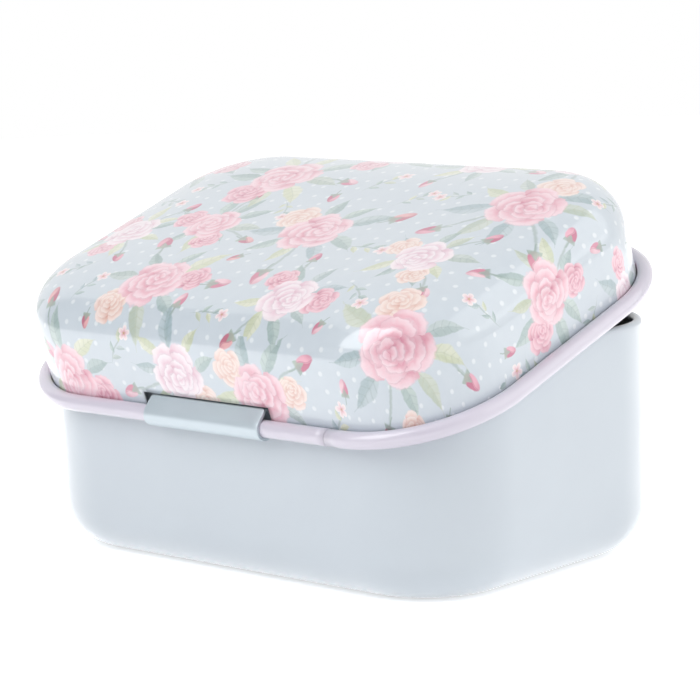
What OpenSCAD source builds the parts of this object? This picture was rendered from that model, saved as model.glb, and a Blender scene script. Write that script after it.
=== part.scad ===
// Sewing tin: a rounded-corner sheet-metal tub with a pillow-topped lid that turns on one strap hinge.
// Millimetres, +Z up, origin at the centre of the tub's flat underside, hinge on the +Y side.
// At rest the lid stands ajar.

/* [Rim] */
// Length of the rolled rim's centre line along the hinge side
rim_w = 160; // [110:1:240]
// Depth of the rolled rim's centre line, hinge side to opening side
rim_d = 111; // [85:1:200]
// Corner radius of the rolled rim's centre line
rim_r = 32; // [26:0.5:40]
// Radius of the rolled rim
bead_r = 2.3; // [1.6:0.1:3]
// Distance of the rim's butt joint from the middle of the hinge side
joint_x = 43.6; // [28:0.2:46]
// Gap between the rim's two ends at the butt joint
joint_gap = 0.2; // [0.1:0.05:0.6]
// Gap between the roll's free edge and the lid's wall
hem_gap = 0.1; // [0.05:0.05:0.4]

/* [Sheet] */
// Thickness of the tub, the lid and the rolled rim
sheet = 0.4; // [0.25:0.05:0.6]

/* [Lid] */
// Height of the lid's shoulder above the rim's centre line
lid_h = 28.7; // [25:0.1:50]
// Radius of the lid's shoulder
shoulder_r = 13; // [6:0.5:14]
// Rise of the pillow top above the shoulder
crown_h = 1.9; // [0.5:0.1:4]
// Angle that the lid stands open at rest
ajar_deg = 19; // [0:0.5:60]

/* [Tub] */
// Height of the tub from underside to mouth
tub_h = 63; // [50:0.5:100]
// Radius of the tub's rounded bottom edge
base_r = 13; // [6:0.5:18]
// Amount that each wall draws in on its way down
draft = 0.5; // [0:0.1:1.5]
// Height at which the walls start to draw in
draft_z = 36; // [30:0.5:38]
// Radius of the inward curl round the mouth
curl_r = 1.3; // [1:0.1:1.8]

/* [Fits] */
// Space between the rim's centre line and the tub at each end
side_gap = 3; // [2.8:0.1:6]
// Space between the rim's centre line and the tub on the hinge side
back_gap = 3.5; // [3.5:0.1:6]
// Space between the rim's centre line and the tub on the opening side
front_gap = 4.6; // [4.6:0.1:8]

/* [Hinge] */
// Height of the tub's mouth above the hinge axis
mouth_rise = 20; // [14:0.5:21]
// Width of the hinge strap
strap_w = 41.3; // [20:0.1:50]
// Thickness of the hinge strap
strap_t = 0.8; // [0.5:0.05:0.8]
// Radial running clearance between the strap's roll and the rim
pin_gap = 0.08; // [0.03:0.01:0.1]
// Height of the strap's shoulder above the hinge axis
strap_top = 5.2; // [5:0.05:6]
// Height of the strap's leaf on the tub's wall above the hinge axis
leaf_h = 14; // [9:0.5:17]
// Clearance between the slot's upper edge and the strap's shoulder
slot_gap = 0.3; // [0.2:0.05:1]
// Free length of the slot at each end of a strap that stands in its middle
slot_play = 2.05; // [2:0.05:8]
// Distance of the strap's middle from the slot's, to the right seen from the hinge side
strap_off = 0.95; // [0:0.05:1.4]

/* [Hidden] */
$fn = 96;

// plan of the tub, from the rim and its gaps, and the hinge axis
tub_w = rim_w - 2 * side_gap;
tub_d = rim_d - front_gap - back_gap;
tub_r = rim_r - side_gap;
hinge_y = tub_d / 2 + back_gap;
hinge_z = tub_h - mouth_rise;
rim_y = hinge_y - rim_d / 2;

// the lid's wall runs straight down into the rolled rim
wall_in = bead_r - sheet;
wall_h = lid_h - shoulder_r;
// the crown's arc meets the shoulder's arc where both slope by crown_a
crown_run = rim_r - wall_in - shoulder_r;
crown_a = 2 * atan(crown_h / crown_run);
crown_t = crown_run / sin(crown_a);
crown_r = shoulder_r + crown_t;
crown_z = wall_h - crown_t * cos(crown_a);
top_z = crown_z + crown_r;

// hinge strap, measured from the hinge axis with +Y outwards
roll_in = bead_r + pin_gap;
roll_out = roll_in + strap_t;
leaf_y = -back_gap;
// the shoulder lies a little outside the axis, where the slot's edge passes it
crest = [-0.3, strap_top];
crest_d = norm(crest);
tan_a = atan2(crest[1], crest[0]) - acos(roll_out / crest_d);
tan_dir = [cos(tan_a), sin(tan_a)];
slot_top = sqrt(pow(crest_d + slot_gap, 2) - wall_in * wall_in);
run_z = sqrt(pow(crest_d, 2) - pow(bead_r, 2)) - 0.1;
roll_end = -125;
far = 3 * roll_out;

// a profile (x outwards from the edge, y up) carried round a rounded rectangle
module round_sweep(w, d, r) {
    for (k = [0 : 3]) {
        sx = (k == 0 || k == 3) ? 1 : -1;
        sy = (k < 2) ? 1 : -1;
        translate([sx * (w / 2 - r), sy * (d / 2 - r), 0])
            rotate([0, 0, 90 * k])
                rotate_extrude(angle = 90)
                    intersection() {
                        translate([r, 0]) children();
                        translate([0, -w]) square([w, 2 * w]);
                    }
        out = (k % 2 == 0) ? w / 2 : d / 2;
        run = (k % 2 == 0) ? d - 2 * r : w - 2 * r;
        rotate([0, 0, 90 * k])
            translate([out, run / 2, 0])
                rotate([90, 0, 0])
                    linear_extrude(height = run) children();
    }
}

// region inside the tub's wall, drawn in by t
module tub_section(t) {
    polygon([
        [-tub_r, base_r],
        [-draft - t, base_r],
        [-t, draft_z],
        [-t, tub_h - curl_r],
        [-tub_r, tub_h - curl_r]
    ]);
    intersection() {
        translate([-draft - base_r, base_r]) circle(r = base_r - t);
        translate([-draft - base_r, 0]) square([base_r, base_r]);
    }
    translate([-tub_r, t]) square([tub_r - draft - base_r, base_r - t]);
}

// three quarters of a small tube, open towards the wall below
module curl_section() {
    translate([-curl_r, tub_h - curl_r])
        difference() {
            circle(r = curl_r);
            circle(r = curl_r - sheet);
            translate([0, -2 * curl_r]) square([2 * curl_r, 2 * curl_r]);
        }
}

module tub_shell() {
    color([0.80, 0.84, 0.87]) {
        round_sweep(tub_w, tub_d, tub_r) {
            union() {
                difference() {
                    tub_section(0);
                    tub_section(sheet);
                }
                curl_section();
            }
        }
        translate([-tub_w / 2 + tub_r, -tub_d / 2 + tub_r, 0])
            cube([tub_w - 2 * tub_r, tub_d - 2 * tub_r, sheet]);
    }
}

// the strap's side view: leaf on the wall, shoulder through the slot, slope and roll round the rim
module strap_section() {
    difference() {
        circle(r = roll_out);
        circle(r = roll_in);
        polygon([
            [0, 0],
            far * [cos(tan_a + 1), sin(tan_a + 1)],
            far * [0, 1],
            far * [-1, 0],
            far * [cos(roll_end), sin(roll_end)]
        ]);
    }
    crest_in = crest - strap_t * tan_dir;
    polygon([
        roll_in * tan_dir,
        roll_out * tan_dir,
        crest,
        crest_in
    ]);
    polygon([
        crest,
        [leaf_y + strap_t, run_z],
        [leaf_y, run_z],
        [leaf_y, run_z - strap_t],
        [crest[0], crest[1] - strap_t],
        crest_in
    ]);
    translate([leaf_y, run_z - strap_t]) square([strap_t, leaf_h - run_z + strap_t]);
}

module hinge_strap() {
    color([0.70, 0.77, 0.81])
        translate([-strap_off - strap_w / 2, hinge_y, hinge_z])
            rotate([90, 0, 90])
                linear_extrude(height = strap_w) strap_section();
}

// the lid and its rim are drawn closed, with the rim's plane at z = 0, and turned up about the hinge
module ajar() {
    translate([0, hinge_y, hinge_z])
        rotate([-ajar_deg, 0, 0])
            translate([0, rim_y - hinge_y, 0]) children();
}

// region under the lid's skin, drawn in by t
module dome_section(t) {
    arc_x = -wall_in - shoulder_r;
    meet_x = arc_x + (shoulder_r - t) * sin(crown_a);
    translate([-rim_r, 0]) square([rim_r - wall_in - t, wall_h]);
    intersection() {
        translate([arc_x, wall_h]) circle(r = shoulder_r - t);
        translate([arc_x, wall_h]) square([shoulder_r, shoulder_r]);
    }
    intersection() {
        translate([-rim_r, crown_z]) circle(r = crown_r - t, $fn = 360);
        translate([-rim_r, wall_h]) square([meet_x + rim_r, shoulder_r + crown_h]);
    }
}

module lid_shell() {
    color([0.83, 0.87, 0.90])
        ajar()
            difference() {
                union() {
                    round_sweep(rim_w, rim_d, rim_r) {
                        difference() {
                            dome_section(0);
                            dome_section(sheet);
                        }
                    }
                    translate([-rim_w / 2 + rim_r, -rim_d / 2 + rim_r, top_z - sheet])
                        cube([rim_w - 2 * rim_r, rim_d - 2 * rim_r, sheet]);
                }
                translate([-strap_w / 2 - slot_play, rim_d / 2 - bead_r - 1, -1])
                    cube([strap_w + 2 * slot_play, bead_r + 2, slot_top + 1]);
            }
}

// the rolled rim: a tube that starts under the lid's wall and comes round to its outer face
module bead_section() {
    difference() {
        circle(r = bead_r);
        circle(r = bead_r - sheet);
        translate([-bead_r - 1, 0]) square([1 + sheet + hem_gap, bead_r]);
    }
}

module rim_bead() {
    color([0.87, 0.84, 0.91])
        ajar()
            difference() {
                round_sweep(rim_w, rim_d, rim_r) bead_section();
                translate([-joint_x - joint_gap / 2, rim_d / 2 - bead_r - 1, -bead_r - 1])
                    cube([joint_gap, 2 * bead_r + 2, 2 * bead_r + 2]);
            }
}

tub_shell();
hinge_strap();
lid_shell();
rim_bead();
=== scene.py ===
"""Sewing tin: lacquered tinplate tub, printed pillow-top lid, rolled rim and strap hinge.

Lengths are in millimetres, but for the stage's, which are in metres. The axes are the frame's own:
the hinge is on the +Y side, the lid opens on the -Y side and stands ajar at rest.
"""
import functools
import math
import random

import bmesh
import bpy
import numpy as np
from mathutils import Matrix, Vector


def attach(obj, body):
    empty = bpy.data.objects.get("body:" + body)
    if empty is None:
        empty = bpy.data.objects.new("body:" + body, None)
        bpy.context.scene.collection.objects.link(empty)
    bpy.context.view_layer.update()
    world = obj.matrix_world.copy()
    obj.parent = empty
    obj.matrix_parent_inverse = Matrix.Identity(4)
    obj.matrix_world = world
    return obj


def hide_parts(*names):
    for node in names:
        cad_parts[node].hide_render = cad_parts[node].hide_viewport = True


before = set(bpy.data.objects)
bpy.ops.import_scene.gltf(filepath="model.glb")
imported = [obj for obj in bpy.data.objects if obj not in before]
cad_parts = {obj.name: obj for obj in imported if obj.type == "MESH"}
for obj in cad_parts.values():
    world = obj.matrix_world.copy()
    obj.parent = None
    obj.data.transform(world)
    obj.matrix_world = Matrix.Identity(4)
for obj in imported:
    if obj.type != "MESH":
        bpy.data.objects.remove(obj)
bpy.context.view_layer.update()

MM = 0.001

# the rim by its centre line, its roll, and the butt joint on the hinge side
RIM_W, RIM_D, RIM_R, BEAD_R = 160.0, 111.0, 32.0, 2.3
HEM_GAP = 0.1
JOINT_X, JOINT_GAP = -43.6, 0.22
# the lid and the tub, drawn from the same sheet
SHEET = 0.4
LID_H, SHOULDER_R, CROWN_H = 28.7, 13.0, 1.9
AJAR = math.radians(19.0)
TUB_H, BASE_R, DRAFT, DRAFT_Z, CURL_R = 63.0, 13.0, 0.5, 36.0, 1.3
SIDE_GAP, BACK_GAP, FRONT_GAP = 3.0, 3.5, 4.6
# the strap and its slot; heights above the hinge axis, angles from straight outwards
HINGE_Z = 43.0
STRAP_W, STRAP_T, STRAP_OFF, PIN_GAP, STRAP_TOP, LEAF_H = 41.3, 0.8, 0.95, 0.08, 5.2, 14.0
BEND_R = (0.35, 1.0)
ROLL_END = -125
SLOT_GAP, SLOT_PLAY = 0.3, 2.05
# the strap's neck is narrower at each side than its roll, over a rounded shoulder; its edges are eased
NECK_CUT, NECK_RUN, EDGE_R = 0.77, 1.1, 0.22

# what follows from them
TUB_W, TUB_D, TUB_R = RIM_W - 2 * SIDE_GAP, RIM_D - BACK_GAP - FRONT_GAP, RIM_R - SIDE_GAP
HINGE_Y = TUB_D / 2 + BACK_GAP
WALL_IN = BEAD_R - SHEET
WALL_H = LID_H - SHOULDER_R
CROWN_RUN = RIM_R - WALL_IN - SHOULDER_R
CROWN_A = 2 * math.atan(CROWN_H / CROWN_RUN)
CROWN_T = CROWN_RUN / math.sin(CROWN_A)
CROWN_R = SHOULDER_R + CROWN_T
CROWN_Z = WALL_H - CROWN_T * math.cos(CROWN_A)
ROLL_IN = BEAD_R + PIN_GAP
ROLL_OUT = ROLL_IN + STRAP_T
CREST = (-0.3, STRAP_TOP)
CREST_D = math.hypot(*CREST)
# the run from the crest to the tub's wall ends inside the circle that the slot's edge turns on
RUN_Z = math.sqrt(CREST_D ** 2 - BEAD_R ** 2) - 0.1
# gaps in the hinge side's wall: from x, to x, up to z
SLOT = (-STRAP_W / 2 - SLOT_PLAY, STRAP_W / 2 + SLOT_PLAY,
        math.sqrt((CREST_D + SLOT_GAP) ** 2 - WALL_IN ** 2))
JOINT = (JOINT_X - JOINT_GAP / 2, JOINT_X + JOINT_GAP / 2, math.inf)

# distance between the mesh's columns and rows
TUB_PITCH, LID_PITCH, RIM_PITCH, STRAP_PITCH = 3.2, 1.5, 3.0, 2.0

TO_METRES = Matrix.Scale(MM, 4)
LID_PLACE = (TO_METRES @ Matrix.Translation((0, HINGE_Y, HINGE_Z)) @ Matrix.Rotation(-AJAR, 4, "X")
             @ Matrix.Translation((0, -RIM_D / 2, 0)))


# meshes

def steps(stops, pitch):
    """Values from the first stop to the last, through every stop, about pitch apart."""
    out = [stops[0]]
    for low, high in zip(stops, stops[1:]):
        count = max(1, round(abs(high - low) / pitch))
        out += [low + (high - low) * k / count for k in range(1, count + 1)]
    return out


def arc(cx, cy, radius, start, end, count):
    """Points on an arc, angles in degrees."""
    angles = [math.radians(start + (end - start) * k / count) for k in range(count + 1)]
    return [(cx + radius * math.cos(a), cy + radius * math.sin(a)) for a in angles]


def new_object(name, data):
    made = bpy.data.objects.new(name, data)
    bpy.context.collection.objects.link(made)
    return made


def new_piece(name, mesh, matrix):
    """A smooth-shaded piece from a mesh in millimetres."""
    data = bpy.data.meshes.new(name)
    mesh.to_mesh(data)
    mesh.free()
    data.transform(matrix)
    data.shade_smooth()
    return new_object(name, data)


def thicken(piece, depth, lining=0):
    """Gives a skin its thickness, inwards; lining is the material slot of its inside and cut edges."""
    mod = piece.modifiers.new("sheet", "SOLIDIFY")
    mod.thickness = depth * MM
    mod.offset = -1
    mod.use_even_offset = True
    mod.material_offset = mod.material_offset_rim = lining


class Pressing:
    """A profile (outwards, up) swept round a rounded rectangle, with a flat field in the middle.

    Each vertex also keeps its place on the flat sheet, where the print is laid out. marks are places
    along X that need a column, such as a slot's ends.
    """

    def __init__(self, width, depth, radius, pitch, corner_steps, marks=()):
        hx, hy = width / 2 - radius, depth / 2 - radius
        self.radius = radius
        self.xs = steps([-hx, *marks, hx], pitch)
        self.ys = steps([-hy, hy], pitch)
        runs = (self.ys, self.xs[::-1], self.ys[::-1], self.xs)
        normals = ((1, 0), (0, 1), (-1, 0), (0, -1))
        centres = ((hx, hy), (-hx, hy), (-hx, -hy), (hx, -hy))
        # columns: foot on the corner centres' rectangle, outward direction, and side, which is
        # 0 to 3 for +X, +Y, -X and -Y, or -1 on a corner
        self.cols = []
        for side, run in enumerate(runs):
            for p in run:
                foot = ((hx, p), (p, hy), (-hx, p), (p, -hy))[side]
                self.cols.append((foot, normals[side], side))
            for k in range(1, corner_steps):
                a = math.radians(90 * side + 90 * k / corner_steps)
                self.cols.append((centres[side], (math.cos(a), math.sin(a)), -1))
        self.mesh = bmesh.new()
        self.known = {}
        self.flat = {}

    def vert(self, x, y, z, flat):
        key = (round(x, 4), round(y, 4), round(z, 4))
        if key not in self.known:
            self.known[key] = self.mesh.verts.new((x, y, z))
            self.flat[self.known[key]] = flat
        return self.known[key]

    def face(self, corners):
        """A face, whose corners may fall together."""
        ring = list(dict.fromkeys(corners))
        if len(ring) > 2:
            self.mesh.faces.new(ring)

    def sweep(self, profile, gap=(0.0, 0.0, 0.0)):
        """Skins the profile all round, but for the gap in the hinge side's wall.

        A profile that runs inwards lies on the sheet with its end at the corner centres, and any other
        with its start.
        """
        reach = [0.0]
        for start, end in zip(profile, profile[1:]):
            reach.append(reach[-1] + math.dist(start, end))
        far = reach[-1] if profile[-1][0] < profile[0][0] else 0.0
        rows = []
        for (u, v), run in zip(profile, reach):
            out, flat_out = self.radius + u, abs(far - run)
            rows.append([
                self.vert(bx + nx * out, by + ny * out, v, (bx + nx * flat_out, by + ny * flat_out))
                for (bx, by), (nx, ny), _ in self.cols])
        hinge_side = 1
        for j in range(len(rows) - 1):
            height = (profile[j][1] + profile[j + 1][1]) / 2
            for i in range(len(self.cols)):
                k = (i + 1) % len(self.cols)
                (foot, _, side), (next_foot, _, next_side) = self.cols[i], self.cols[k]
                if side == next_side == hinge_side:
                    if gap[0] < (foot[0] + next_foot[0]) / 2 < gap[1] and height < gap[2]:
                        continue
                self.face([rows[j][i], rows[j][k], rows[j + 1][k], rows[j + 1][i]])

    def field(self, z, up=True):
        """The flat field inside the corner centres."""
        for x0, x1 in zip(self.xs, self.xs[1:]):
            for y0, y1 in zip(self.ys, self.ys[1:]):
                ring = [self.vert(x, y, z, (x, y)) for x, y in ((x0, y0), (x1, y0), (x1, y1), (x0, y1))]
                self.face(ring if up else ring[::-1])

    def build(self, name, matrix):
        for v in [v for v in self.mesh.verts if not v.link_faces]:
            self.mesh.verts.remove(v)
        self.mesh.verts.index_update()
        flat = [(*self.flat[v], 0.0) for v in self.mesh.verts]
        piece = new_piece(name, self.mesh, matrix)
        sheet = piece.data.attributes.new("sheet_mm", "FLOAT_VECTOR", "POINT")
        sheet.data.foreach_set("vector", np.array(flat, np.float32).ravel())
        return piece


def make_tub():
    tub = Pressing(TUB_W, TUB_D, TUB_R, TUB_PITCH, corner_steps=30)
    drawn_in = steps([BASE_R, DRAFT_Z], TUB_PITCH)[1:]
    profile = [(u, 0.0) for u in steps([-TUB_R, -DRAFT - BASE_R], TUB_PITCH)]
    profile += arc(-DRAFT - BASE_R, BASE_R, BASE_R, -90, 0, count=18)[1:]
    profile += [(-DRAFT * (DRAFT_Z - v) / (DRAFT_Z - BASE_R), v) for v in drawn_in]
    profile += [(0.0, v) for v in steps([DRAFT_Z, TUB_H - CURL_R], TUB_PITCH)[1:]]
    profile += arc(-CURL_R, TUB_H - CURL_R, CURL_R, 0, 270, count=18)[1:]
    tub.sweep(profile)
    tub.field(0.0, up=False)
    piece = tub.build("tub_drawn_shell", TO_METRES)
    thicken(piece, SHEET, lining=1)
    return piece


def make_lid():
    lid = Pressing(RIM_W, RIM_D, RIM_R, LID_PITCH, corner_steps=32, marks=SLOT[:2])
    crown_start = 90 - math.degrees(CROWN_A)
    profile = [(-WALL_IN, v) for v in steps([0.0, SLOT[2], WALL_H], LID_PITCH)]
    profile += arc(-WALL_IN - SHOULDER_R, WALL_H, SHOULDER_R, 0, crown_start, count=14)[1:]
    profile += arc(-RIM_R, CROWN_Z, CROWN_R, crown_start, 90, count=12)[1:]
    lid.sweep(profile, SLOT)
    lid.field(CROWN_Z + CROWN_R)
    piece = lid.build("lid_drawn_shell", LID_PLACE)
    thicken(piece, SHEET, lining=1)
    return piece


def make_rim():
    rim = Pressing(RIM_W, RIM_D, RIM_R, RIM_PITCH, corner_steps=30, marks=JOINT[:2])
    free_edge = 360 + math.degrees(math.acos((-WALL_IN + HEM_GAP) / BEAD_R))
    rim.sweep(arc(0, 0, BEAD_R, 180, free_edge, count=30), JOINT)
    piece = rim.build("rim_rolled_bead", LID_PLACE)
    thicken(piece, SHEET)
    return piece


def fillet(path, radii, count=6):
    """Rounds each inner corner of a path by its own radius."""
    out = [Vector(path[0])]
    for before, corner, after, radius in zip(path, path[1:], path[2:], radii):
        p = Vector(corner)
        back, on = (Vector(before) - p).normalized(), (Vector(after) - p).normalized()
        half = math.acos(max(-1, min(1, back.dot(on)))) / 2
        cut = radius / math.tan(half)
        centre = p + (back + on).normalized() * radius / math.sin(half)
        start, end = p + back * cut - centre, p + on * cut - centre
        out += [centre + start.lerp(end, n / count).normalized() * radius for n in range(count + 1)]
    out.append(Vector(path[-1]))
    return [tuple(p) for p in out]


def make_strap():
    """One strip: leaf on the tub's wall, out through the slot, down and round under the rim."""
    touch = math.atan2(CREST[1], CREST[0]) - math.acos(ROLL_OUT / CREST_D)
    touch_y, touch_z = ROLL_OUT * math.cos(touch), ROLL_OUT * math.sin(touch)
    leaf_y = -BACK_GAP + STRAP_T
    bends = fillet([(leaf_y, LEAF_H), (leaf_y, RUN_Z), CREST, (touch_y, touch_z)], BEND_R)
    leaf = [(bends[0][0], z) for z in steps([LEAF_H, bends[1][1]], STRAP_PITCH)[:-1]]
    top_y, top_z = bends[-2]
    slope_rows = 12
    slope = [(top_y + (touch_y - top_y) * k / slope_rows, top_z + (touch_z - top_z) * k / slope_rows)
             for k in range(1, slope_rows + 1)]
    roll = arc(0, 0, ROLL_OUT, math.degrees(touch), ROLL_END, count=22)[1:]
    path = leaf + bends[1:-1] + slope + roll

    crest_at = min(range(len(path)), key=lambda k: math.dist(path[k], CREST))
    cuts = [NECK_CUT] * (crest_at + 1)
    run = 0.0
    for start, end in zip(path[crest_at:], path[crest_at + 1:]):
        run += math.dist(start, end)
        left = max(0.0, 1 - run / NECK_RUN)
        cuts.append(NECK_CUT * (1 - math.sqrt(1 - left * left)))

    half, side_column = STRAP_W / 2, 1.5
    xs = steps([-half, -half + side_column, half - side_column, half], STRAP_PITCH)
    mesh = bmesh.new()
    grid = [[mesh.verts.new((x * (half - cut) / half - STRAP_OFF, HINGE_Y + y, HINGE_Z + z))
             for x in xs] for (y, z), cut in zip(path, cuts)]
    for row, below in zip(grid, grid[1:]):
        for i in range(len(xs) - 1):
            mesh.faces.new([row[i], row[i + 1], below[i + 1], below[i]])
    piece = new_piece("hinge_strap_strip", mesh, TO_METRES)
    thicken(piece, STRAP_T)
    edge = piece.modifiers.new("edge", "BEVEL")
    edge.width = EDGE_R * MM
    edge.segments = 3
    edge.limit_method = "ANGLE"
    edge.angle_limit = math.radians(60)
    return piece


# print layout

PRINT_SEED = 41
# a little under a full turn, for random directions
TURN = 6.28
# the sheet that the lid is drawn from reaches this far past the rim
MARGIN = 22.0
# how many times as long as wide a motif is, where it isn't round
STRETCH = {"stem": 5.0, "leaf_low": 2.1, "leaf_top": 2.1, "bud": 1.5}
# a motif is drawn up to this many times its size from its middle; beyond, its coordinates are far off
INSIDE, OUTSIDE = 1.12, 9.0


def away(x, y, reach, turn):
    """The point at this distance and in this direction."""
    return x + reach * math.cos(turn), y + reach * math.sin(turn)


class Print:
    """Motifs laid out on the flat sheet, kept per kind as (x, y, turn, size, seed)."""

    def __init__(self, seed):
        self.pick = random.Random(seed)
        kinds = ("stem", "leaf_low", "leaf_top", "blossom", "bud", "rose_low", "rose_top")
        self.motifs = {kind: [] for kind in kinds}

    def put(self, kind, x, y, turn, size):
        self.motifs[kind].append((x, y, turn, size, self.pick.random()))

    def leaf(self, kind, x, y, turn, length):
        """A leaf that starts at x, y and points along turn."""
        self.put(kind, *away(x, y, length / 2, turn), turn, length / 2)

    def posy(self, x, y, size, turn):
        """A full rose, one or two smaller ones behind it, leaves all round, buds on stems."""
        r = self.pick
        self.put("rose_top", x, y, r.uniform(0, TURN), size)
        a = turn + r.uniform(-0.4, 0.4)
        small = size * r.uniform(0.56, 0.68)
        gap = size * 1.22
        self.put("rose_low", *away(x, y, gap, a), r.uniform(0, TURN), small)
        if r.random() < 0.5:
            b = a + r.choice((-1, 1)) * r.uniform(2.0, 2.5)
            self.put("rose_low", *away(x, y, gap, b), r.uniform(0, TURN), small * 0.9)
        for k in range(8):
            b = turn + 0.75 + k * 0.72 + r.uniform(-0.12, 0.12)
            self.leaf("leaf_low" if k % 2 else "leaf_top", *away(x, y, size * 0.76, b),
                      b + r.uniform(-0.4, 0.4), size * r.uniform(0.85, 1.35))
        for k in (0, 1):
            b = turn + 2.35 + k * 1.9 + r.uniform(-0.3, 0.3)
            reach = size * r.uniform(2.0, 2.25)
            self.put("stem", *away(x, y, reach * 0.62, b), b, reach * 0.46)
            self.put("bud", *away(x, y, reach, b), b + r.uniform(-0.3, 0.3),
                     size * r.uniform(0.42, 0.52))

    def sprig(self, x, y, size, turn):
        """A blossom at the head of a stem, with leaves on alternate sides."""
        r = self.pick
        self.put("stem", x, y, turn, size)
        self.put("blossom", *away(x, y, size, turn), r.uniform(0, TURN), size * 0.42)
        for k in range(4):
            kind, side = ("leaf_top", 1) if k % 2 else ("leaf_low", -1)
            self.leaf(kind, *away(x, y, size * (-0.7 + 0.36 * k), turn),
                      turn + side * r.uniform(0.6, 0.95), size * r.uniform(0.55, 0.75))

    def clear(self, x, y, taken, room):
        return all((x - px) ** 2 + (y - py) ** 2 > (room + reach) ** 2 for px, py, reach in taken)

    def scatter(self, half_x, half_y):
        """Posies first, then sprigs between them, then single buds in what is left."""
        r = self.pick
        taken = []
        # how many, their smallest and largest size, and the room that each keeps as a share of its size
        for draw, wanted, sizes, room in ((self.posy, 26, (8.2, 11.4), 1.5),
                                          (self.sprig, 60, (5.2, 7.0), 1.15)):
            placed, tips = 0, []
            for _ in range(6000):
                if placed == wanted:
                    break
                size = r.uniform(*sizes)
                x, y = r.uniform(-half_x, half_x), r.uniform(-half_y, half_y)
                if self.clear(x, y, taken, size * room):
                    buds = len(self.motifs["bud"])
                    draw(x, y, size, r.uniform(0, TURN))
                    taken.append((x, y, size * room))
                    tips += [(bx, by, reach) for bx, by, _, reach, _ in self.motifs["bud"][buds:]]
                    placed += 1
            taken += tips
        for _ in range(1200):
            x, y = r.uniform(-half_x, half_x), r.uniform(-half_y, half_y)
            # a single bud starts 4.4 mm clear of the rest and then keeps 5 mm to itself
            if self.clear(x, y, taken, 4.4):
                self.put("bud", x, y, r.uniform(0, TURN), r.uniform(3.2, 4.2))
                taken.append((x, y, 5.0))

    def write(self, piece):
        """Stores each kind as face-corner coordinates local to the nearest motif, seed in Z."""
        data = piece.data
        corners = len(data.loops)
        vertex = np.empty(corners, np.int32)
        data.loops.foreach_get("vertex_index", vertex)
        start = np.empty(len(data.polygons), np.int32)
        total = np.empty(len(data.polygons), np.int32)
        data.polygons.foreach_get("loop_start", start)
        data.polygons.foreach_get("loop_total", total)
        flat = np.empty(len(data.vertices) * 3, np.float32)
        data.attributes["sheet_mm"].data.foreach_get("vector", flat)
        at = flat.reshape(-1, 3)[vertex, :2]
        for kind, motifs in self.motifs.items():
            value = np.full((corners, 3), OUTSIDE, np.float32)
            nearest = np.full(len(start), np.inf)
            for x, y, turn, size, seed in motifs:
                c, s = math.cos(turn), math.sin(turn)
                d = at - (x, y)
                along, across = d[:, 0] * c + d[:, 1] * s, -d[:, 0] * s + d[:, 1] * c
                local = np.stack([along / size, across / size], 1)
                reach = np.hypot(local[:, 0], local[:, 1] * STRETCH.get(kind, 1.0))
                closest = np.minimum.reduceat(reach, start)
                use = (closest < INSIDE) & (closest < nearest)
                nearest[use] = closest[use]
                pick = np.repeat(use, total)
                value[pick, :2] = local[pick]
                value[pick, 2] = seed
            layer = data.attributes.new(kind, "FLOAT_VECTOR", "CORNER")
            layer.data.foreach_set("vector", value.ravel())


# materials

def lin(code):
    """An sRGB hex colour as linear RGBA."""
    parts = [int(code[k:k + 2], 16) / 255 for k in (1, 3, 5)]
    return tuple(c / 12.92 if c <= 0.04045 else ((c + 0.055) / 1.055) ** 2.4 for c in parts) + (1.0,)


WHITE = lin("#FFFFFF")
# the setting that holds a node's mode
MODE = {"Math": "operation", "VectorMath": "operation", "Mix": "data_type",
        "MapRange": "interpolation_type"}


def add(tree, kind, *inputs, stops=(), between="LINEAR", **settings):
    """Adds a node with its settings and links, and gives it back.

    kind is the node's type and, where it has one, its mode. The inputs fill the live sockets in
    order, or are one table of socket names. An input is a number, a colour, a socket, or a node,
    which stands for its first live output. stops are a colour ramp's places and hex colours.
    """
    kind, _, mode = kind.partition(" ")
    made = tree.nodes.new("ShaderNode" + kind)
    if mode:
        setattr(made, MODE[kind], mode)
    for name, value in settings.items():
        setattr(made, name, value)
    if stops:
        band = made.color_ramp
        band.interpolation = between
        while len(band.elements) > 1:
            band.elements.remove(band.elements[-1])
        band.elements[0].position, band.elements[0].color = stops[0][0], lin(stops[0][1])
        for place, code in stops[1:]:
            band.elements.new(place).color = lin(code)
    live = [socket for socket in made.inputs if socket.enabled]
    table = inputs[0] if inputs and isinstance(inputs[0], dict) else dict(enumerate(inputs))
    for key, value in table.items():
        socket = live[key] if isinstance(key, int) else made.inputs[key]
        if isinstance(value, bpy.types.Node):
            value = next(out for out in value.outputs if out.enabled)
        if isinstance(value, bpy.types.NodeSocket):
            tree.links.new(value, socket)
        else:
            socket.default_value = value
    return made


def new_material(name):
    made = bpy.data.materials.new(name)
    made.use_nodes = True
    made.node_tree.nodes.clear()
    return made, made.node_tree


def per_mm(size):
    """Noise scale in object space for a feature of this size in millimetres."""
    return 1.0 / (size * MM)


def relief(tree, peel, dish, detail, strength, depth):
    """Normal of a stoved coat: orange peel over the sheet's slow waves, which are this deep."""
    place = add(tree, "TexCoord").outputs["Object"]
    fine = add(tree, "TexNoise", {"Vector": place, "Scale": per_mm(peel), "Detail": detail})
    slow = add(tree, "TexNoise", {"Vector": place, "Scale": per_mm(dish), "Detail": detail})
    waves = add(tree, "Bump", {"Height": slow, "Strength": strength, "Distance": depth * MM})
    return add(tree, "Bump", {"Height": fine, "Strength": 0.08, "Distance": 0.02 * MM, "Normal": waves})


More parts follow.
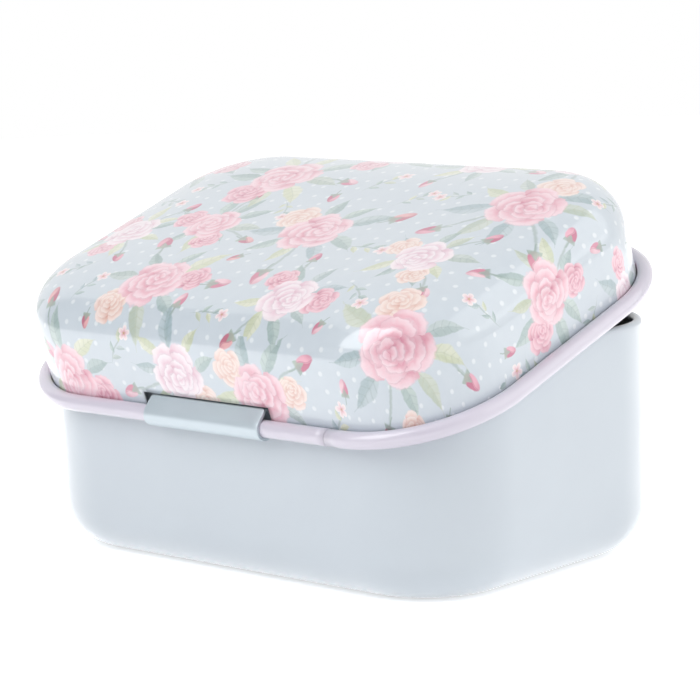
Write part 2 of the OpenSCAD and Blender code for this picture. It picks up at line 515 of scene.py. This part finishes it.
def lacquer(name, colour, shade, rough, coat, metal=0.0):
    """Stoved gloss lacquer on tinplate: even pale colour, a faint orange peel and soft mottling.

    A little metal lets the plate show through a thin coat.
    """
    made, tree = new_material(name)
    place = add(tree, "TexCoord").outputs["Object"]
    cloud = add(tree, "TexNoise", {"Vector": place, "Scale": per_mm(26), "Detail": 3.0})
    haze = add(tree, "TexNoise", {"Vector": place, "Scale": per_mm(9), "Detail": 2.0})
    blur = add(tree, "MapRange", {"Value": haze, "From Min": 0.3, "From Max": 0.7,
                                  "To Min": rough - 0.03, "To Max": rough + 0.03})
    shader = add(tree, "BsdfPrincipled", {
        "Base Color": add(tree, "Mix RGBA", cloud, lin(shade), lin(colour)), "Metallic": metal,
        "Roughness": blur, "IOR": 1.5, "Coat Weight": coat, "Coat Roughness": 0.08,
        "Normal": relief(tree, peel=2.2, dish=34, detail=0.0, strength=0.2, depth=1.0)})
    add(tree, "OutputMaterial", {"Surface": shader})
    return made


def tinplate():
    """Bare tinned steel inside, rolled: bright but blurred, with the mill's grain along X."""
    made, tree = new_material("tinplate_rolled_bright")
    place = add(tree, "TexCoord").outputs["Object"]
    grain = add(tree, "Mapping", {"Vector": place, "Scale": (0.04, 1.0, 1.0)})
    line = add(tree, "TexNoise", {"Vector": grain, "Scale": per_mm(0.45), "Detail": 2.0})
    shader = add(tree, "BsdfPrincipled", {
        "Base Color": add(tree, "ValToRGB", line, stops=[(0.35, "#B1B3B4"), (0.65, "#BEBFBE")]),
        "Metallic": 1.0,
        "Roughness": add(tree, "MapRange", {"Value": line, "To Min": 0.31, "To Max": 0.38}),
        "Normal": add(tree, "Bump", {"Height": line, "Strength": 0.05, "Distance": 0.03 * MM})})
    add(tree, "OutputMaterial", {"Surface": shader})
    return made


# the print's dyes; where there are several, the motif's seed picks among them
GROUND, GROUND_LIGHT, DOT = "#C9D2DA", "#D2DAE1", "#EEF2F5"
STEM, STALK, CUP, CUP_LIGHT = "#A3B2AE", "#98AAA4", "#8FA39C", "#B5C3B0"
LEAF_DARK = [(0, "#8DA5A3"), (0.3, "#9DB3AC"), (0.55, "#98AEB6"), (0.8, "#C2C9A2"), (1, "#D5D7B0")]
LEAF_LIGHT = [(0, "#B7C8C4"), (0.3, "#C5D3CA"), (0.55, "#BFCCD3"), (0.8, "#DFE1C6"), (1, "#E9E8CF")]
LEAF_VEIN = [(0, "#7C928F"), (0.68, "#B0B58F")]
# a blossom's colours run from its eye to its rim
BLOSSOM = [(0.1, "#C9A56B"), (0.2, "#E0A9AE"), (0.42, "#F1CDD2"), (0.9, "#F8EBEA")]
BLOSSOM_STREAK, BUD_LINE = "#D890A2", "#A8506E"
BUD_DEEP = [(0, "#C25F80"), (0.4, "#D07A94"), (0.8, "#C06A80")]
BUD_PALE = [(0, "#E8A6B8"), (0.4, "#F2CBD4"), (0.8, "#E9B0B2")]
# lip, body, heart and pen line of the roses: pink, or else peach below and blush on top
ROSES = {
    "rose_low": ([(0, "#F5CDD6"), (0.6, "#F9E6DF")], [(0, "#E7A4B5"), (0.6, "#F0D3C7")],
                 [(0, "#BF557A"), (0.6, "#DBA292")], [(0, "#A34A6C"), (0.6, "#BE887B")]),
    "rose_top": ([(0, "#F8DBE2"), (0.55, "#FAEEF2")], [(0, "#EFB6C3"), (0.55, "#F1D6E0")],
                 [(0, "#CE6A87"), (0.55, "#D59DB3")], [(0, "#AE5675"), (0.55, "#A3708D")]),
}
# a rose's rings from the outside in: reach, petals, phase, scallop, swirl, middle x and y, shade's span
RINGS = (
    (0.98, 5, 0.10, 0.20, 0.15, 0.00, 0.00, 0.34),
    (0.78, 4, 0.55, 0.22, 0.25, 0.05, 0.03, 0.34),
    (0.56, 4, 0.25, 0.20, 0.50, 0.10, 0.06, 0.24),
    (0.37, 3, 0.70, 0.24, 0.90, 0.15, 0.09, 0.24),
    (0.20, 2, 0.10, 0.26, 1.60, 0.18, 0.12, 0.24),
)
# half width of the pen line round a petal
PEN = 0.012


class Painting:
    """The motifs as colour in a node tree. Inside a motif, lengths are shares of its size."""

    def __init__(self, tree):
        node = self.node = functools.partial(add, tree)
        self.sheet = node("Attribute", attribute_name="sheet_mm").outputs["Vector"]
        # the brush's wobble, about 2.5 mm long, pushes every outline a little
        wobble = node("TexNoise", {"Vector": self.sheet, "Scale": 1 / 2.5, "Detail": 2.0})
        self.push = node("VectorMath SUBTRACT", wobble.outputs["Color"], (0.5, 0.5, 0.5))
        # pigment pools about 4 mm across, and its fine granulation
        self.pool = node("TexNoise", {"Vector": self.sheet, "Scale": 1 / 4.0, "Detail": 3.0})
        self.grain = node("TexNoise", {"Vector": self.sheet, "Scale": 1 / 0.7, "Detail": 2.0})

    def local(self, kind, sway):
        """Coordinates inside the nearest motif of a kind: along, across, seed, and all at once."""
        at = self.node("Attribute", attribute_name=kind).outputs["Vector"]
        moved = self.node("VectorMath MULTIPLY_ADD", self.push, (sway, sway, 0.0), at)
        return *self.node("SeparateXYZ", moved).outputs, moved

    def soft(self, distance, width):
        """1 inside, 0 outside, over a soft edge."""
        return self.node("Math MULTIPLY_ADD", distance, 1 / width, 0.5, use_clamp=True)

    def line(self, value, middle, half, width):
        """1 where the value is within half of the middle, 0 elsewhere, over soft edges."""
        off = self.node("Math ABSOLUTE", self.node("Math SUBTRACT", value, middle))
        return self.soft(self.node("Math SUBTRACT", half, off), width)

    def over(self, paint, mask, strength, colour):
        """Lays a colour over the paint, as strong as this where the mask is 1."""
        return self.node("Mix RGBA", self.node("Math MULTIPLY", mask, strength), paint, colour)

    def length(self, along, across):
        node = self.node
        squares = node("Math MULTIPLY", along, along), node("Math MULTIPLY", across, across)
        return node("Math SQRT", node("Math ADD", *squares))

    def lens(self, along, width, lean):
        """Half width of a leaf at its place along the midrib."""
        node = self.node
        body = node("Math SUBTRACT", 1.0, node("Math MULTIPLY", along, along), use_clamp=True)
        return node("Math MULTIPLY", node("Math MULTIPLY", body, width),
                    node("Math MULTIPLY_ADD", along, -lean, 1.0))

    def ground(self):
        """A mottled ground with dots 1.4 mm across about every 5.8 mm."""
        node = self.node
        mottle = node("Math MULTIPLY_ADD", self.pool, 0.9, 0.05, use_clamp=True)
        paint = node("Mix RGBA", mottle, lin(GROUND), lin(GROUND_LIGHT))
        cells = node("TexVoronoi", {"Vector": self.sheet, "Scale": 1 / 5.8, "Randomness": 0.35},
                     voronoi_dimensions="2D")
        dots = self.soft(node("Math SUBTRACT", 0.115, cells), 0.07)
        return self.over(paint, dots, 0.65, lin(DOT))

    def stems(self, paint):
        """Thin bowed strokes."""
        node = self.node
        along, across, *_ = self.local("stem", 0.12)
        bow = node("Math MULTIPLY_ADD", node("Math MULTIPLY", along, along), -0.16, 0.08)
        stroke = self.line(across, bow, self.lens(along, 0.045, 0.0), 0.05)
        return self.over(paint, stroke, 0.7, lin(STEM))

    def leaves(self, paint, kind):
        """A darker and a lighter half either side of the midrib, and side veins."""
        node = self.node
        along, across, seed, _ = self.local(kind, 0.18)
        bow = node("Math MULTIPLY_ADD", node("Math MULTIPLY", along, along), 0.12, -0.06)
        across = node("Math ADD", across, bow)
        side = node("Math ABSOLUTE", across)
        body = self.soft(node("Math SUBTRACT", self.lens(along, 0.38, 0.35), side), 0.07)
        rib = self.soft(node("Math SUBTRACT", 0.015, side), 0.05)
        vein = node("Math MULTIPLY_ADD", side, 1.6, node("Math MULTIPLY", along, -2.6))
        vein = node("Math FRACT", vein)
        vein = node("Math MULTIPLY", self.line(vein, 0.5, 0.08, 0.15), 0.35)
        drawn = node("Math MULTIPLY_ADD", rib, 0.5, vein, use_clamp=True)
        lit = node("Math MULTIPLY_ADD", along, -0.15, node("Math MULTIPLY_ADD", self.pool, 0.9, -0.45))
        lit = node("Math MULTIPLY_ADD", self.soft(across, 0.2), 0.75, lit, use_clamp=True)
        dark, light = (node("ValToRGB", seed, stops=stops) for stops in (LEAF_DARK, LEAF_LIGHT))
        fill = node("Mix RGBA", drawn, node("Mix RGBA", lit, dark, light),
                    node("ValToRGB", seed, stops=LEAF_VEIN, between="CONSTANT"))
        strength = node("Math MULTIPLY_ADD", self.grain, 0.3, 0.62, use_clamp=True)
        return self.over(paint, body, strength, fill)

    def blossoms(self, paint):
        """Five streaked petals round a yellow eye."""
        node = self.node
        along, across, seed, _ = self.local("blossom", 0.22)
        petals = node("Math MULTIPLY_ADD", node("Math ARCTAN2", across, along), 2.5,
                      node("Math MULTIPLY", seed, 6.0))
        edge = node("Math POWER", node("Math ABSOLUTE", node("Math COSINE", petals)), 0.6)
        edge = node("Math MULTIPLY_ADD", edge, 0.5, 0.45)
        far = self.length(along, across)
        body = self.soft(node("Math SUBTRACT", edge, far), 0.10)
        out = node("Math DIVIDE", far, edge)
        streak = node("Math FRACT", node("Math MULTIPLY", petals, 3 / math.pi))
        streak = self.line(streak, 0.5, 0.1, 0.3)
        inner = node("Math MULTIPLY", self.soft(node("Math SUBTRACT", 0.6, out), 0.3), 0.35)
        fill = self.over(node("ValToRGB", out, stops=BLOSSOM), streak, inner, lin(BLOSSOM_STREAK))
        return self.over(paint, body, 0.9, fill)

    def buds(self, paint):
        """A stalk, two wrapped petals and a green cup."""
        node = self.node
        along, across, seed, _ = self.local("bud", 0.10)
        bow = node("Math MULTIPLY_ADD", node("Math MULTIPLY", along, along), 0.12, -0.024)
        stalk = node("Math MULTIPLY", self.line(across, bow, 0.045, 0.06),
                     self.soft(node("Math MULTIPLY", along, -1.0), 0.1))
        stalk = node("Math MULTIPLY", stalk, self.soft(node("Math ADD", along, 1.0), 0.1))
        paint = self.over(paint, stalk, 0.85, lin(STALK))

        fore = node("Math SUBTRACT", along, 0.28)
        taper = node("Math MULTIPLY_ADD", fore, -0.12, 0.40)
        oval = self.length(node("Math DIVIDE", fore, 0.66), node("Math DIVIDE", across, taper))
        body = self.soft(node("Math SUBTRACT", 1.0, oval), 0.16)
        lap = node("Math SINE", node("Math MULTIPLY", fore, 6.0))
        lap = node("Math MULTIPLY_ADD", fore, 0.30, node("Math MULTIPLY_ADD", lap, 0.06, across))
        deep, pale = (node("ValToRGB", seed, stops=stops, between="CONSTANT")
                      for stops in (BUD_DEEP, BUD_PALE))
        fill = node("Mix RGBA", self.soft(lap, 0.09), deep, pale)
        fill = node("Mix RGBA", node("MapRange SMOOTHSTEP", fore, 0.1, 0.7, 0.0, 0.5), fill, deep)
        fill = self.over(fill, self.line(lap, 0.05, 0.03, 0.04), 0.5, lin(BUD_LINE))
        paint = self.over(paint, body, 0.95, fill)

        teeth = node("Math COSINE", node("Math MULTIPLY", across, 18.0))
        cup = node("Math MULTIPLY", node("Math MULTIPLY_ADD", along, -0.7, 0.18),
                   node("Math MULTIPLY_ADD", teeth, 0.25, 1.0))
        cup = self.soft(node("Math SUBTRACT", cup, node("Math ABSOLUTE", across)), 0.08)
        cup = node("Math MULTIPLY", cup, self.soft(node("Math ADD", along, 0.42), 0.12))
        mottle = node("Math MULTIPLY_ADD", self.pool, 1.5, -0.45, use_clamp=True)
        return self.over(paint, cup, 0.85, node("Mix RGBA", mottle, lin(CUP), lin(CUP_LIGHT)))

    def roses(self, paint, kind):
        """Rings of scalloped petals, each with a pale lip, a deep foot and a broken pen line."""
        node = self.node
        along, across, seed, at = self.local(kind, 0.24)
        lip, flesh, heart, pen = (node("ValToRGB", seed, stops=stops, between="CONSTANT")
                                  for stops in ROSES[kind])
        broken = node("Math MULTIPLY_ADD", node("Math ADD", self.grain, self.pool), 0.5, -0.19,
                      use_clamp=True)
        pooled = node("Math ADD", self.pool, 0.4)
        fill, body = flesh, None
        for reach, petals, phase, scallop, swirl, mid_x, mid_y, span in RINGS:
            x, y = node("Math SUBTRACT", along, mid_x), node("Math SUBTRACT", across, mid_y)
            far = self.length(x, y)
            turn = node("Math MULTIPLY_ADD", node("Math ARCTAN2", y, x), petals / (2 * math.pi),
                        node("Math MULTIPLY_ADD", seed, 3.0, phase))
            turn = node("Math FRACT", node("Math MULTIPLY_ADD", far, swirl, turn))
            edge = node("Math POWER", node("Math SINE", node("Math MULTIPLY", turn, math.pi)), 0.6)
            edge = node("Math MULTIPLY_ADD", edge, reach * scallop, reach * (0.95 - scallop))
            edge = node("Math MULTIPLY_ADD", turn, reach * 0.10, edge)
            depth = node("Math SUBTRACT", edge, far)
            inside = self.soft(depth, 0.06)
            near_lip = node("MapRange SMOOTHSTEP", depth, 0.0, span * 0.8, 0.0, 1.0)
            petal = node("Mix RGBA", near_lip, lip, flesh)
            # shade where the next petal overlaps this one, and at its foot
            lapped = node("Math ADD", node("MapRange SMOOTHSTEP", turn, 0.66, 1.0, 0.0, 0.6),
                          node("MapRange SMOOTHSTEP", turn, 0.2, 0.0, 0.0, 0.25))
            foot = node("MapRange SMOOTHSTEP", depth, span * 0.35, span * 1.25, 0.0, 0.8)
            shade = node("Math MULTIPLY_ADD", lapped, pooled, foot, use_clamp=True)
            fill = node("Mix RGBA", inside, fill, node("Mix RGBA", shade, petal, heart))
            if body is None:
                body = inside
            else:
                fill = self.over(fill, self.line(depth, PEN, PEN, 0.03), broken, pen)
        # a pale wash over the whole rose, which the motif's seed changes
        wash = node("VectorMath MULTIPLY", at, (1.6, 1.6, 40.0))
        wash = node("TexNoise", {"Vector": wash, "Scale": 1.0, "Detail": 1.0})
        wash = node("Math MULTIPLY", node("Math MULTIPLY_ADD", wash, 1.9, -0.8, use_clamp=True), 0.55)
        strength = node("Math MULTIPLY_ADD", self.grain, 0.2, 0.84, use_clamp=True)
        return self.over(paint, body, strength, node("Mix RGBA", wash, fill, lip))


def printed_sheet():
    """Offset print under a gloss varnish: soft watercolour flowers on a dotted blue-grey ground."""
    made, tree = new_material("tinplate_printed_varnished")
    art = Painting(tree)
    paint = art.stems(art.ground())
    for kind in ("leaf_low", "leaf_top"):
        paint = art.leaves(paint, kind)
    paint = art.buds(art.blossoms(paint))
    for kind in ("rose_low", "rose_top"):
        paint = art.roses(paint, kind)
    blur = add(tree, "MapRange", {"Value": art.grain, "From Min": 0.3, "From Max": 0.7,
                                  "To Min": 0.30, "To Max": 0.38})
    shader = add(tree, "BsdfPrincipled", {
        "Base Color": paint, "Roughness": blur, "IOR": 1.5, "Coat Weight": 1.0, "Coat Roughness": 0.05,
        "Normal": relief(tree, peel=1.1, dish=30, detail=1.0, strength=0.25, depth=0.8)})
    add(tree, "OutputMaterial", {"Surface": shader})
    return made


# the tin

tub_coat = lacquer("stoved_lacquer_pale_blue_grey", "#CBD3DA", "#C5CDD5", 0.34, 0.5)
strap_coat = lacquer("stoved_lacquer_blue_grey_strip", "#C7D2D9", "#C0CCD3", 0.34, 0.3, metal=0.25)
rim_coat = lacquer("stoved_lacquer_pale_lilac", "#DBD5E1", "#D4CEDC", 0.33, 0.8)
bare_tin = tinplate()
lid_print = printed_sheet()

tub = make_tub()
lid = make_lid()
rim = make_rim()
strap = make_strap()

layout = Print(PRINT_SEED)
layout.scatter(RIM_W / 2 + MARGIN, RIM_D / 2 + MARGIN)
layout.write(lid)

for piece, coats, body, node, slot in (
        (tub, (tub_coat, bare_tin), "tub", "tub_shell", "tub_lacquer"),
        (strap, (strap_coat,), "tub", "hinge_strap", "strap_lacquer"),
        (lid, (lid_print, bare_tin), "lid", "lid_shell", "lid_print"),
        (rim, (rim_coat,), "lid", "rim_bead", "rim_lacquer")):
    for coat in coats:
        piece.data.materials.append(coat)
    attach(piece, body)
    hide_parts(node)


# stage, light and camera, in metres

FLOOR_R = 1.4
# the studio flat's radius and height, and its two ends in degrees round the tin
FLAT_R, FLAT_H, FLAT_ENDS = 2.2, 2.4, (10, 145)
AIM = Vector((0, 0, 0.05))


def shown(tree, to_camera):
    """How white a surface looks: to_camera to the camera, 1 in gloss and glass, 0 as a light."""
    rays = add(tree, "LightPath").outputs
    seen = add(tree, "Math MULTIPLY", rays["Is Camera Ray"], to_camera)
    seen = add(tree, "Math MAXIMUM", seen, rays["Is Glossy Ray"])
    return add(tree, "Math MAXIMUM", seen, rays["Is Transmission Ray"])


def stand(name, corners, faces, material):
    """A flat or folded stage piece."""
    data = bpy.data.meshes.new(name)
    data.from_pydata(corners, [], faces)
    made = new_object(name, data)
    made.data.materials.append(material)


def ring(radius, height, degrees):
    """Points round the tin at these angles."""
    turns = [math.radians(a) for a in degrees]
    return [(radius * math.cos(a), radius * math.sin(a), height) for a in turns]


def softbox(name, azimuth, elevation, far, size, power):
    """A rectangular lamp, azimuth from +X towards +Y, that faces the tin's middle."""
    az, el = math.radians(azimuth), math.radians(elevation)
    data = bpy.data.lights.new(name, "AREA")
    data.shape = "RECTANGLE"
    data.size, data.size_y = size
    data.energy = power
    made = new_object(name, data)
    out = Vector((math.cos(az) * math.cos(el), math.sin(az) * math.cos(el), math.sin(el)))
    made.location = out * far + AIM
    made.rotation_euler = (AIM - made.location).to_track_quat("-Z", "Y").to_euler()
    made.visible_camera = False


world = bpy.data.worlds.new("white_room")
bpy.context.scene.world = world
world.use_nodes = True
room = world.node_tree
room.nodes.clear()
dim = add(room, "Background", {"Color": WHITE, "Strength": 0.58})
white = add(room, "Background", {"Color": WHITE, "Strength": 1.0})
add(room, "OutputWorld", {"Surface": add(room, "MixShader", shown(room, 1.0), dim, white)})

# the floor takes the tin's shadow; half of its white is its own, so that the shadow stays faint
paper, tree = new_material("paper_sweep_white")
matt = add(tree, "BsdfDiffuse", {"Color": WHITE})
glow = add(tree, "Emission", {"Color": WHITE, "Strength": shown(tree, 0.5)})
add(tree, "OutputMaterial", {"Surface": add(tree, "AddShader", matt, glow)})
edge = ring(FLOOR_R, 0.0, range(0, 360, 10))
stand("floor", edge, [tuple(range(len(edge)))], paper)

# the dim end of the studio, which the lid's shoulder mirrors above the edge of the white sweep
felt, tree = new_material("studio_flat_grey")
grey = add(tree, "BsdfDiffuse", {"Color": lin("#8C9298")})
clear = add(tree, "Emission", {"Color": WHITE, "Strength": 1.0})
from_camera = add(tree, "LightPath").outputs["Is Camera Ray"]
add(tree, "OutputMaterial", {"Surface": add(tree, "MixShader", from_camera, grey, clear)})
ends = range(FLAT_ENDS[0], FLAT_ENDS[1] + 1, 9)
low, high = ring(FLAT_R, 0.0, ends), ring(FLAT_R, FLAT_H, ends)
count = len(low)
stand("studio_flat", low + high, [(k, k + 1, k + 1 + count, k + count) for k in range(count - 1)], felt)

# place round and above the tin in degrees, distance, size and watts
softbox("key_softbox", 74, 41, 1.2, (0.62, 0.86), 6.8)
softbox("fill_softbox", 208, 34, 2.0, (2.4, 1.8), 15.0)
softbox("low_softbox_left", 84, 10, 1.5, (2.0, 0.5), 2.0)
softbox("low_softbox_right", 196, 10, 1.5, (2.0, 0.5), 2.0)

# the camera, fitted to the photograph's outlines: angles in degrees, focal length in the frame's
# pixels, and distance and aim (sideways and up) in millimetres
CAMERA = {"azimuth": 222.135, "elevation": 9.2, "roll": -1.955, "distance": 781.06, "focal": 2857.07,
          "aside": 1.403, "height": 53.663}
FRAME_PIXELS, SENSOR_MM = 700, 36


def make_camera(azimuth, elevation, roll, distance, focal, aside, height):
    az, el, roll = (math.radians(a) for a in (azimuth, elevation, roll))
    back = Vector((math.sin(az) * math.cos(el), -math.cos(az) * math.cos(el), math.sin(el)))
    right = Vector((math.cos(az), math.sin(az), 0))
    up = back.cross(right)
    aim = Vector((0, 0, height)) + right * aside
    rolled_right = right * math.cos(roll) + up * math.sin(roll)
    rolled_up = up * math.cos(roll) - right * math.sin(roll)
    data = bpy.data.cameras.new("camera")
    data.sensor_width = SENSOR_MM
    data.lens = focal / FRAME_PIXELS * SENSOR_MM
    data.clip_start, data.clip_end = 0.01, 20
    pose = Matrix((rolled_right, rolled_up, back)).transposed().to_4x4()
    pose.translation = (aim + back * distance) * MM
    made = new_object("camera", data)
    made.matrix_world = pose
    bpy.context.scene.camera = made


make_camera(**CAMERA)
bpy.context.scene.view_settings.view_transform = "Standard"

bpy.context.view_layer.update()
